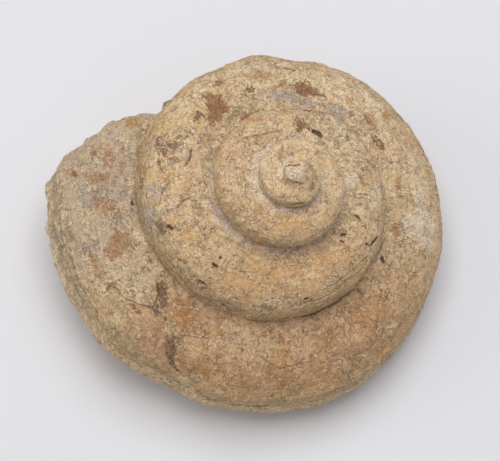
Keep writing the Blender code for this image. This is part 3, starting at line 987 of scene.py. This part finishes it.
# %% Wrap a socket
class Wire:
    """A socket of the material being made. Arithmetic on it adds Math nodes."""

    tree = None

    def __init__(self, socket):
        self.socket = socket

    @classmethod
    def node(cls, kind, settings, inputs, output=0):
        """Adds a node, applies its settings, then fills or links its inputs."""
        made = cls.tree.nodes.new("ShaderNode" + kind)
        for name, value in settings.items():
            setattr(made, name, value)
        for name, value in inputs.items():
            if isinstance(value, Wire):
                cls.tree.links.new(value.socket, made.inputs[name])
            else:
                made.inputs[name].default_value = value
        return cls(made.outputs[output])

    def math(self, operation, first, second):
        return self.node("Math", {"operation": operation}, {0: first, 1: second})

    def __add__(self, other):
        return self.math("ADD", self, other)

    def __radd__(self, other):
        return self.math("ADD", other, self)

    def __sub__(self, other):
        return self.math("SUBTRACT", self, other)

    def __rsub__(self, other):
        return self.math("SUBTRACT", other, self)

    def __mul__(self, other):
        return self.math("MULTIPLY", self, other)

    def __rmul__(self, other):
        return self.math("MULTIPLY", other, self)

# %% [markdown]
# ## Layers of the stone's finish
#
# Every layer is a colour and a mask. A mask is a field kept on the skin, a noise of a given
# grain in millimetres, or both: the noise makes the field's edge ragged, as a stain's edge is
# where it creeps between grains. A mineral is (grain, the noise where it starts and where it
# is full, share, colour). A coat is (field, least cover, grain, detail, share, colour).

# %% Helpers for masks and layers
stone_look = bpy.data.materials.new("weathered_limestone")
stone_look.use_nodes = True
Wire.tree = stone_look.node_tree
Wire.tree.nodes.clear()
place = Wire.node("TexCoord", {}, {}, "Object")


def kept(name):
    """A field that was kept on the skin."""
    return Wire.node("Attribute", {"attribute_name": name}, {}, "Fac")


def cloud(grain, detail=2.0, roughness=0.55, where=None):
    """Noise around 0.5 with lumps about a grain wide, in mm."""
    vector = place if where is None else where
    scale = 1 / grain if where is not None else 1 / (grain * MM)
    return Wire.node("TexNoise", {}, {
        "Vector": vector, "Scale": scale, "Detail": detail, "Roughness": roughness,
    })


def step_up(value, low, high):
    """A smooth step from 0 to 1 between two values, or from 1 to 0 if low is the larger."""
    return Wire.node("MapRange", {"interpolation_type": "SMOOTHSTEP"}, {
        "Value": value, "From Min": low, "From Max": high,
    })


def vein(value, level, width):
    """1 along the thin lines where a noise passes a level."""
    off = Wire.node("Math", {"operation": "ABSOLUTE"}, {0: value - level})
    return step_up(off, width, width * 0.25)


def ragged(cover, grain, reach, soft):
    """A field cut off at half its height, with an edge that wanders with the grain."""
    wandering = cover + (cloud(grain, 4.0, 0.7) - 0.5) * reach
    return step_up(wandering, 0.5 - soft, 0.5 + soft)


def layer(mask, under, over, mode="MIX"):
    return Wire.node(
        "Mix", {"data_type": "RGBA", "blend_type": mode}, {0: mask, 6: under, 7: over}, 2
    )


def paint(red, green, blue):
    return (red, green, blue, 1.0)

# %% The bare stone
TAN = paint(0.63, 0.445, 0.235)
OCHRE = paint(0.60, 0.385, 0.185)
CREAM = paint(0.76, 0.60, 0.385)
GREY_TAN = paint(0.51, 0.405, 0.27)
GOLD = paint(0.64, 0.43, 0.195)
DUSTY_PINK = paint(0.61, 0.41, 0.265)
BROWN_TAN = paint(0.39, 0.245, 0.13)
RUSTY_TAN = paint(0.52, 0.315, 0.155)
GREEN_GREY = paint(0.42, 0.355, 0.235)
PALE_GREY = paint(0.72, 0.61, 0.455)
EARTH_AND_SHADE_BROWN = paint(0.36, 0.205, 0.10)
TIP_YELLOW = paint(0.74, 0.54, 0.31)
MOUTH_GREY = paint(0.42, 0.35, 0.275)
WALL_BROWN_AND_SHADE = paint(0.50, 0.32, 0.155)
FLAKE_GREY = paint(0.53, 0.455, 0.32)
MINERALS = (
    (14.0, 0.46, 0.60, 0.45, GOLD),
    (9.0, 0.42, 0.62, 0.80, OCHRE),
    (6.5, 0.52, 0.61, 0.75, RUSTY_TAN),
    (5.2, 0.50, 0.60, 0.80, CREAM),
    (4.2, 0.53, 0.61, 0.80, DUSTY_PINK),
    (3.4, 0.52, 0.62, 0.65, GREY_TAN),
    (2.3, 0.53, 0.60, 0.55, GOLD),
    (1.9, 0.54, 0.60, 0.50, RUSTY_TAN),
    (1.5, 0.55, 0.60, 0.50, GREEN_GREY),
    (1.1, 0.54, 0.60, 0.60, BROWN_TAN),
    (0.85, 0.55, 0.61, 0.60, PALE_GREY),
)
MINERAL_STRENGTH = 0.7
# The first undercoat is darker brown on the front of the last whorl: partly the stone's own colour,
# partly painted shade.
UNDERCOATS = (("earth_and_front_shade", 0.55, 3.0, 3.0, 1.0, EARTH_AND_SHADE_BROWN), ("painted_light_right_back", 0.55, 4.0, 3.0, 1.0, CREAM))
# The ramp coat is partly painted light on the upward ramps, and the wall coat is partly painted shade on
# the steep walls.
OVERCOATS = (
    ("pale_lit_ramp", 0.10, 2.2, 4.0, 1.0, CREAM), ("wall", 0.20, 2.4, 4.0, 0.9, WALL_BROWN_AND_SHADE),
    ("mouth", 0.20, 2.4, 4.0, 0.9, MOUTH_GREY), ("rim", 0.20, 2.8, 4.0, 0.8, CREAM),
    ("flake", 0.15, 1.4, 4.0, 0.8, FLAKE_GREY), ("tip", 0.45, 1.6, 3.0, 0.5, TIP_YELLOW),
)


def coated(colour, coats):
    """Lays coats over a colour, each where its field is, and thicker where a noise is high."""
    for name, least, grain, detail, share, mineral in coats:
        cover = kept(name) * (least + cloud(grain, detail) * share)
        colour = layer(cover, colour, mineral)
    return colour


# Painted light: an undercoat makes the right and back side paler.
stone_colour = coated(TAN, UNDERCOATS)
for grain, low, high, share, mineral in MINERALS:
    patches = step_up(cloud(grain, 4.0, 0.65), low, high)
    stone_colour = layer(patches * share * MINERAL_STRENGTH, stone_colour, mineral)
# The rim coat is painted light: the lower side of the last whorl made paler.
stone_colour = coated(stone_colour, OVERCOATS)
print("bare stone:", len(Wire.tree.nodes), "nodes")

# %% [markdown]
# ## Mud, flakes and veins
#
# The soft tints of mud and iron go on first, because everything else lies over them, and with
# them pale patches that are partly the stone's colour and partly painted light. Then the skin of
# the rock has flaked: a noise cut off at one level gives thin plates, pale on top, with a brown
# line where their edges hold dirt. The same noise feeds the bump later, so colour and relief
# agree.

# %% Tints of mud and iron
OLIVE_MUD = paint(0.34, 0.265, 0.15)
GREY_MUD = paint(0.385, 0.325, 0.275)
PINK_TINT = paint(0.58, 0.39, 0.27)
ORANGE_TINT = paint(0.58, 0.345, 0.14)
RED_TINT = paint(0.34, 0.155, 0.075)
PALE_SAND_AND_LIGHT = paint(0.64, 0.51, 0.32)

patchy_look = cloud(1.1, 4.0, 0.7)
TINTS = (
    ("olive", 1.6, 0.85, OLIVE_MUD), ("pink", 1.8, 0.55, PINK_TINT),
    ("orange", 1.6, 0.60, ORANGE_TINT), ("grey", 1.1, 0.95, GREY_MUD), ("pale", 1.2, 0.80, PALE_SAND_AND_LIGHT),
)
for name, grain, share, mud in TINTS:
    cover = ragged(kept(name), grain, 2.6, 0.40) * step_up(patchy_look, 0.20, 0.54)
    stone_colour = layer(cover * share, stone_colour, mud)
red = ragged(kept("red"), 0.9, 2.8, 0.30) * (0.35 + patchy_look)
stone_colour = layer(red * 0.92, stone_colour, RED_TINT)
print("with the tints:", len(Wire.tree.nodes), "nodes")

# %% Flaked plates and veins
FLECK_BROWN = paint(0.26, 0.155, 0.085)
PLATES = ((3.6, 0.54), (1.7, 0.56))
VEINS = ((4.4, 0.47, 0.016), (2.2, 0.50, 0.022))

flaked, rims = [], []
for grain, level in PLATES:
    noise_here = cloud(grain, 5.0, 0.62)
    flaked.append(step_up(noise_here, level - 0.006, level + 0.012))
    rims.append(vein(noise_here, level - 0.008, 0.014))
for plate, rim in zip(flaked, rims):
    stone_colour = layer(plate * 0.34, stone_colour, CREAM)
    stone_colour = layer(rim * step_up(cloud(5.0, 2.0), 0.47, 0.58) * 0.50, stone_colour, FLECK_BROWN)
crossing = [
    vein(cloud(grain, 3.0, 0.6), level, width) * step_up(cloud(grain * 1.6, 2.0), 0.50, 0.58)
    for grain, level, width in VEINS
]
for line in crossing:
    stone_colour = layer(line * 0.60, stone_colour, FLECK_BROWN)
print("with plates and veins:", len(Wire.tree.nodes), "nodes")

# %% [markdown]
# ## Streaks round the whorls
#
# Streaks run round the whorls, so their noise is laid out along and across the tube: long in
# the first direction and narrow in the second. Growth wrinkles are laid out the other way.

# %% Streaks and wrinkles
STREAK_LENGTH, STREAK_WIDTH = 3.2, 0.42
WRINKLE_LENGTH, WRINKLE_WIDTH = 2.6, 0.55


def tube_noise(along, around, detail):
    """Noise stretched to a length along the tube and a length around it, in mm."""
    where = Wire.node("CombineXYZ", {}, {
        "X": kept("along") * (1 / along), "Y": kept("around") * (1 / around),
    })
    return cloud(1.0, detail, 0.6, where)


streak = tube_noise(STREAK_LENGTH, STREAK_WIDTH, 3.0)
wrinkle = tube_noise(WRINKLE_WIDTH, WRINKLE_LENGTH, 3.0)
streaked = 0.55 + kept("wall") * 0.45
stone_colour = layer(step_up(streak, 0.52, 0.64) * streaked * 0.60, stone_colour, BROWN_TAN)
stone_colour = layer(step_up(streak, 0.47, 0.34) * streaked * 0.50, stone_colour, CREAM)
stone_colour = layer(step_up(wrinkle, 0.54, 0.64) * 0.35, stone_colour, BROWN_TAN)
print("with the streaks:", len(Wire.tree.nodes), "nodes")

# %% [markdown]
# ## Stains, crusts and grains
#
# Rust and manganese stains and the pale crust lie over all that. The grains of the rock come
# after them, because they darken and lighten whatever colour they carry, and the cracks and
# pits come last. A little rust made by noise alone lies all over, so that the sides which the
# photograph doesn't show have some too.

# %% Rust, manganese and crust
RUST_BROWN = paint(0.38, 0.175, 0.07)
RUST_DEEP = paint(0.20, 0.10, 0.055)
AMBER = paint(0.46, 0.245, 0.095)
MANGANESE = paint(0.20, 0.13, 0.09)
LIME_CRUST = paint(0.74, 0.64, 0.56)
PALE_CRUST = paint(0.74, 0.64, 0.51)

far_rust = step_up(cloud(5.0, 5.0, 0.66), 0.66, 0.69) * 0.75
rust_colour = layer(step_up(cloud(0.8, 3.0), 0.42, 0.60), RUST_DEEP, RUST_BROWN)
amber = ragged(kept("amber"), 0.6, 2.2, 0.22) * step_up(patchy_look, 0.26, 0.50)
stone_colour = layer(amber * 0.80, stone_colour, AMBER)
rust = ragged(kept("rust"), 0.6, 2.1, 0.12) * step_up(patchy_look, 0.20, 0.42)
stone_colour = layer(far_rust, stone_colour, rust_colour)
stone_colour = layer(rust * 0.90, stone_colour, rust_colour)
dark = ragged(kept("dark"), 0.6, 2.4, 0.20) * step_up(cloud(0.7, 3.0), 0.30, 0.50)
stone_colour = layer(dark * 0.85, stone_colour, MANGANESE)
crust = ragged(kept("crust"), 0.7, 2.0, 0.30) * step_up(patchy_look, 0.26, 0.54)
stone_colour = layer(crust * 0.62, stone_colour, PALE_CRUST)
deposit = kept("deposit") * step_up(cloud(2.6, 3.0), 0.34, 0.60) * (0.5 + patchy_look * 0.5)
stone_colour = layer(deposit * 0.85, stone_colour, LIME_CRUST)
print("with stains and crust:", len(Wire.tree.nodes), "nodes")

# %% Grains, seams, cracks and pits
GRAIN_SHADE = paint(0.46, 0.40, 0.34)
GRAIN_LIGHT = paint(1.50, 1.47, 1.42)
SEAM_SHADE = paint(0.27, 0.18, 0.11)
FRONT_SHADE_WARM = paint(0.90, 0.84, 0.80)
CRACK_SHADE = paint(0.17, 0.105, 0.065)
PIT_SHADE = paint(0.11, 0.07, 0.045)

fine = cloud(0.27, 2.0, 0.7)
coarse = cloud(0.80, 3.0, 0.7)
calm = 1 - kept("tip") * 0.6
for grains, share in ((fine, calm * 0.58), (coarse, calm * 0.20)):
    stone_colour = layer(step_up(grains, 0.50, 0.68) * share, stone_colour, GRAIN_SHADE, "MULTIPLY")
    stone_colour = layer(step_up(grains, 0.48, 0.30) * share, stone_colour, GRAIN_LIGHT, "MULTIPLY")
# Painted shade: the side that faces the front, and the front of the last whorl, are made darker and
# warmer.
stone_colour = layer(kept("front") * 0.75, stone_colour, FRONT_SHADE_WARM, "MULTIPLY")
stone_colour = layer(kept("earth_and_front_shade") * 0.85, stone_colour, FRONT_SHADE_WARM, "MULTIPLY")
flecks = step_up(cloud(0.7, 2.0, 0.6), 0.64, 0.70)
stone_colour = layer(flecks * 0.65, stone_colour, FLECK_BROWN)
# Painted shade: a dark line along the seams, in the crease where each whorl meets the next.
seam_painted_shade = kept("seam") * (0.30 + step_up(cloud(3.2, 3.0), 0.36, 0.58) * 0.70)
stone_colour = layer(seam_painted_shade * 0.80, stone_colour, SEAM_SHADE)
broken = step_up(cloud(0.9, 4.0, 0.7), 0.36, 0.56)
stone_colour = layer(kept("crack") * (0.22 + broken * 0.72), stone_colour, CRACK_SHADE)
pit = ragged(kept("pit"), 0.5, 1.0, 0.25)
stone_colour = layer(pit * 0.9, stone_colour, PIT_SHADE)
print("with grains and cracks:", len(Wire.tree.nodes), "nodes")

# %% Gloss and grain
MATTE = 0.86
GLINT_ROUGHNESS = 0.35
BUMP_DISTANCE = 0.25 * MM
SPECULAR = 0.35
glint = step_up(cloud(0.4, 0.0), 0.66, 0.70) * crust
roughness = MATTE + (coarse - 0.5) * 0.25 - glint * (MATTE - GLINT_ROUGHNESS)
relief_height = fine * 0.45 + coarse * 0.40 + cloud(1.8, 4.0, 0.65) * 0.75
relief_height = relief_height + (streak + wrinkle) * (kept("wall") * 0.30 + 0.30)
relief_height = relief_height + (flaked[0] + flaked[1]) * 0.35 - (rims[0] + rims[1]) * 0.10
relief_height = relief_height - (crossing[0] + crossing[1]) * 0.25
grain_normal = Wire.node("Bump", {}, {
    "Strength": 1.0, "Distance": BUMP_DISTANCE, "Height": relief_height,
})
shader = Wire.node("BsdfPrincipled", {}, {
    "Base Color": stone_colour, "Roughness": roughness, "Normal": grain_normal,
    "Specular IOR Level": SPECULAR,
})
out = Wire.tree.nodes.new("ShaderNodeOutputMaterial")
Wire.tree.links.new(shader.socket, out.inputs["Surface"])
skin.materials.append(stone_look)
print("the stone's material has", len(Wire.tree.nodes), "nodes")

# %% [markdown]
# ## Floor and light
#
# The photograph was taken on a pale sheet in soft light. A large cool lamp above and behind
# the stone, a weaker warm one at its left and a plain world give much the same shadow. A
# softbox is (name, place, width in metres, power in watts, colour).

# %% Floor
FLOOR_SIZE = 6.0
SHEET_COLOUR = (0.70, 0.70, 0.715, 1.0)
SHEET_ROUGHNESS = 0.9
SHEET_SPECULAR = 0.1


def make_floor():
    look = bpy.data.materials.new("pale_sheet")
    look.use_nodes = True
    sheet = look.node_tree.nodes["Principled BSDF"]
    sheet.inputs["Base Color"].default_value = SHEET_COLOUR
    sheet.inputs["Roughness"].default_value = SHEET_ROUGHNESS
    sheet.inputs["Specular IOR Level"].default_value = SHEET_SPECULAR
    mesh = bpy.data.meshes.new("floor")
    half = FLOOR_SIZE / 2
    corners = [(-half, -half, 0), (half, -half, 0), (half, half, 0), (-half, half, 0)]
    mesh.from_pydata(corners, [], [(0, 1, 2, 3)])
    mesh.materials.append(look)
    floor = bpy.data.objects.new("floor", mesh)
    bpy.context.scene.collection.objects.link(floor)
    floor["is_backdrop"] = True


make_floor()
print("the floor is", FLOOR_SIZE, "m wide")

# %% Light
SOFTBOXES = (
    ("softbox_above", Vector((0.02, 0.20, 0.90)), 0.72, 6.5, (0.99, 0.985, 1.0)),
    ("softbox_left", Vector((-0.85, -0.05, 0.42)), 0.60, 1.6, (1.0, 0.95, 0.87)),
)
WORLD_COLOUR = (0.96, 0.97, 1.0, 1.0)
WORLD_STRENGTH = 0.43


def make_softbox(name, place, size, power, colour):
    data = bpy.data.lights.new(name, "AREA")
    data.shape, data.size, data.energy = "SQUARE", size, power
    data.color = colour
    lamp = bpy.data.objects.new(name, data)
    lamp.location = place
    lamp.rotation_euler = place.to_track_quat("Z", "Y").to_euler()
    bpy.context.scene.collection.objects.link(lamp)


def make_room():
    world = bpy.data.worlds.new("studio")
    world.use_nodes = True
    room = world.node_tree.nodes["Background"]
    room.inputs["Color"].default_value = WORLD_COLOUR
    room.inputs["Strength"].default_value = WORLD_STRENGTH
    bpy.context.scene.world = world
    bpy.context.scene.view_settings.view_transform = "Standard"


for softbox in SOFTBOXES:
    make_softbox(*softbox)
make_room()
print(len(SOFTBOXES), "softboxes and a world of strength", WORLD_STRENGTH)

# %% [markdown]
# ## Handing over
#
# The stone stands for the frame's plain solid, moves with the body "root" and takes the fossil
# limestone finish. Both boxes are written down, to compare the sizes.

# %% Ride, replace and finish
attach(stone, "root")
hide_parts(NODE)
bpy.context.view_layer.update()
stone_box = [[float(c) for c in corner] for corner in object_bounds()]
print("the stone reaches, in mm:", [[round(c / MM, 1) for c in p] for p in stone_box])
